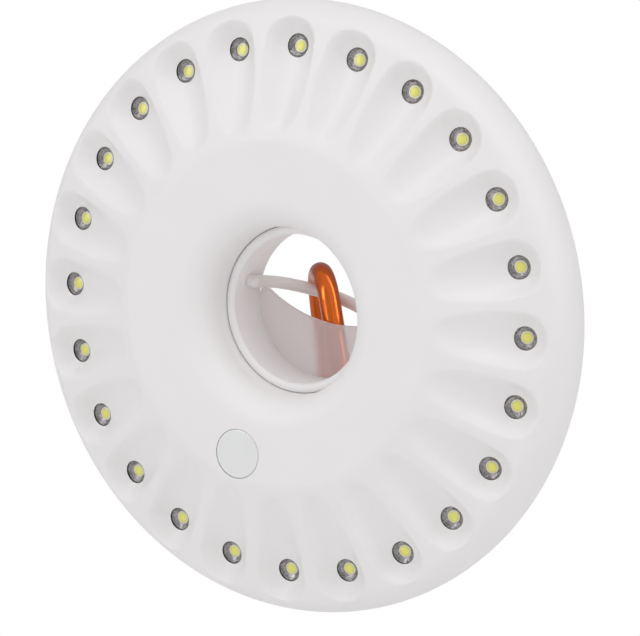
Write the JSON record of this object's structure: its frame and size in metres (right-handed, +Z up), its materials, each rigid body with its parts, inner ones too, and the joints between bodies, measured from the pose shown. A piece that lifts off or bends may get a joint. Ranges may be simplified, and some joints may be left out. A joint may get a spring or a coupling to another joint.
{
  "type": "parasol pole light",
  "caption": "Round battery light that clamps round a parasol pole, with a ring of recessed lamps, a push button, a sliding jaw and a wire bail with a carabiner.",
  "frame": {"origin": "centre of the pole bore's cylindrical wall, on the bore's axis", "axes": "-Y out of the lit face along the bore, +Y out of the back, +Z up as the light stands, with its button 16 degrees to the left of straight down as seen from the front, +X to the right as seen from the front"},
  "size_m": [0.199, 0.0632, 0.199],
  "materials": {
    "shell": "satin white moulded plastic, faintly warm",
    "board": "green soldermask",
    "lamp": "clear dome with grey surround and yellow phosphor",
    "button": "translucent grey white plastic",
    "black_plastic": "black moulded plastic",
    "steel": "zinc plated steel",
    "cell": null,
    "contact": "nickel plated spring steel",
    "milky": "translucent milky plastic",
    "bail_white": "white coated wire",
    "orange_anodised": "orange anodised, glossy"
  },
  "bodies": {
    "housing": {"front_cover": "shell", "rear_cover": "shell", "led_board": "board", "led_lamps": "lamp", "tact_switch": "black_plastic", "control_board": "board", "board_screws": "steel", "cover_screws": "steel", "battery_tray_left": "shell", "battery_tray_right": "shell", "battery_1": "cell", "battery_2": "cell", "battery_3": "cell", "battery_4": "cell", "contact_plates": "contact", "contact_springs": "contact", "door_pins": "steel", "jaw_screws": "steel", "jaw_springs": "steel"},
    "button": {"button_cap": "button"},
    "jaw": {"clamp_jaw": "milky"},
    "door_left": {"battery_door_left": "shell"},
    "door_right": {"battery_door_right": "shell"},
    "bail": {"bail": "bail_white"},
    "carabiner": {"carabiner_body": "orange_anodised", "gate_rivet": "steel"},
    "gate": {"carabiner_gate": "orange_anodised", "gate_spring": "steel"}
  },
  "joints": [
    {"name": "button_press", "type": "slide", "parent": "housing", "child": "button", "axis": [0, 1, 0], "range_m": [0, 0.0012], "stiffness_N_per_m": 1500, "springref_m": -0.001},
    {"name": "jaw_slide", "type": "slide", "parent": "housing", "child": "jaw", "axis": [-0.2793, 0, -0.9602], "range_m": [0, 0.0185], "stiffness_N_per_m": 200, "springref_m": -0.02},
    {"name": "door_left_open", "type": "hinge", "parent": "housing", "child": "door_left", "pos_m": [-0.06318, 0.0155, 0.01838], "axis": [0.2793, 0, 0.9602], "range_deg": [0, 100]},
    {"name": "door_right_open", "type": "hinge", "parent": "housing", "child": "door_right", "pos_m": [0.06318, 0.0155, -0.01838], "axis": [-0.2793, 0, -0.9602], "range_deg": [0, 100]},
    {"name": "bail_swing", "type": "hinge", "parent": "housing", "child": "bail", "pos_m": [0, 0.005, 0], "axis": [0.9602, 0, -0.2793], "range_deg": [0, 35]},
    {"name": "carabiner_swing", "type": "hinge", "parent": "bail", "child": "carabiner", "pos_m": [-0.00795, 0.02581, 0.00101], "axis": [0.8916, 0.3545, -0.2816], "range_deg": [0, 70]},
    {"name": "gate_swing", "type": "hinge", "parent": "carabiner", "child": "gate", "pos_m": [-0.01471, 0.04032, -0.03631], "axis": [-0.7225, -0.6784, -0.1331], "range_deg": [-25, 0], "stiffness_Nm_per_rad": 0.01, "springref_deg": 20.05}
  ]
}
